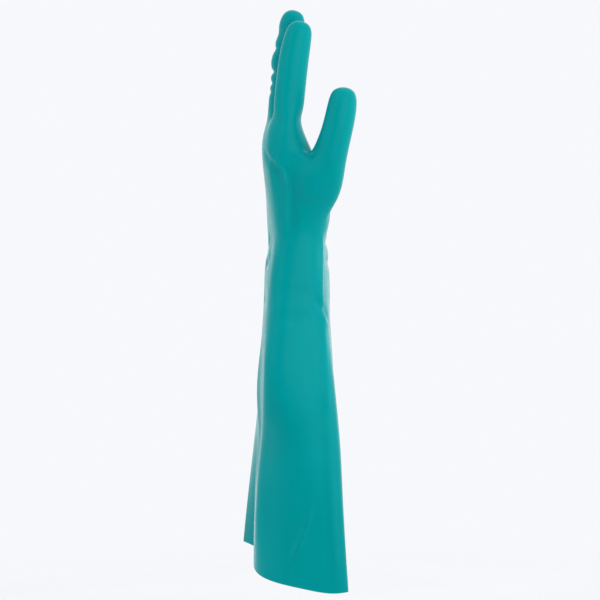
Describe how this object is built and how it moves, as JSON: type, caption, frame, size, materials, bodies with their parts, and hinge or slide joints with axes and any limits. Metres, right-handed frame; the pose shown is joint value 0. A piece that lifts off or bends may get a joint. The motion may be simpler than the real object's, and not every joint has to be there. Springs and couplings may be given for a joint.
{
  "type": "chemical-resistant glove",
  "caption": "Long one-piece rubber glove for handling chemicals, left hand, held open as when worn, hollow from its slanting hem to the fingertips.",
  "frame": {"origin": "in the mouth, where the axis of the arm crosses the plane of the hem", "axes": "+X towards the thumb's side, +Y out of the palm, +Z along the arm to the fingertips"},
  "size_m": [0.147, 0.0706, 0.4524],
  "materials": {
    "nitrile": "smooth, semi-gloss, teal green, the same through the wall"
  },
  "bodies": {
    "root": {"glove_shell": "nitrile"}
  },
  "joints": []
}
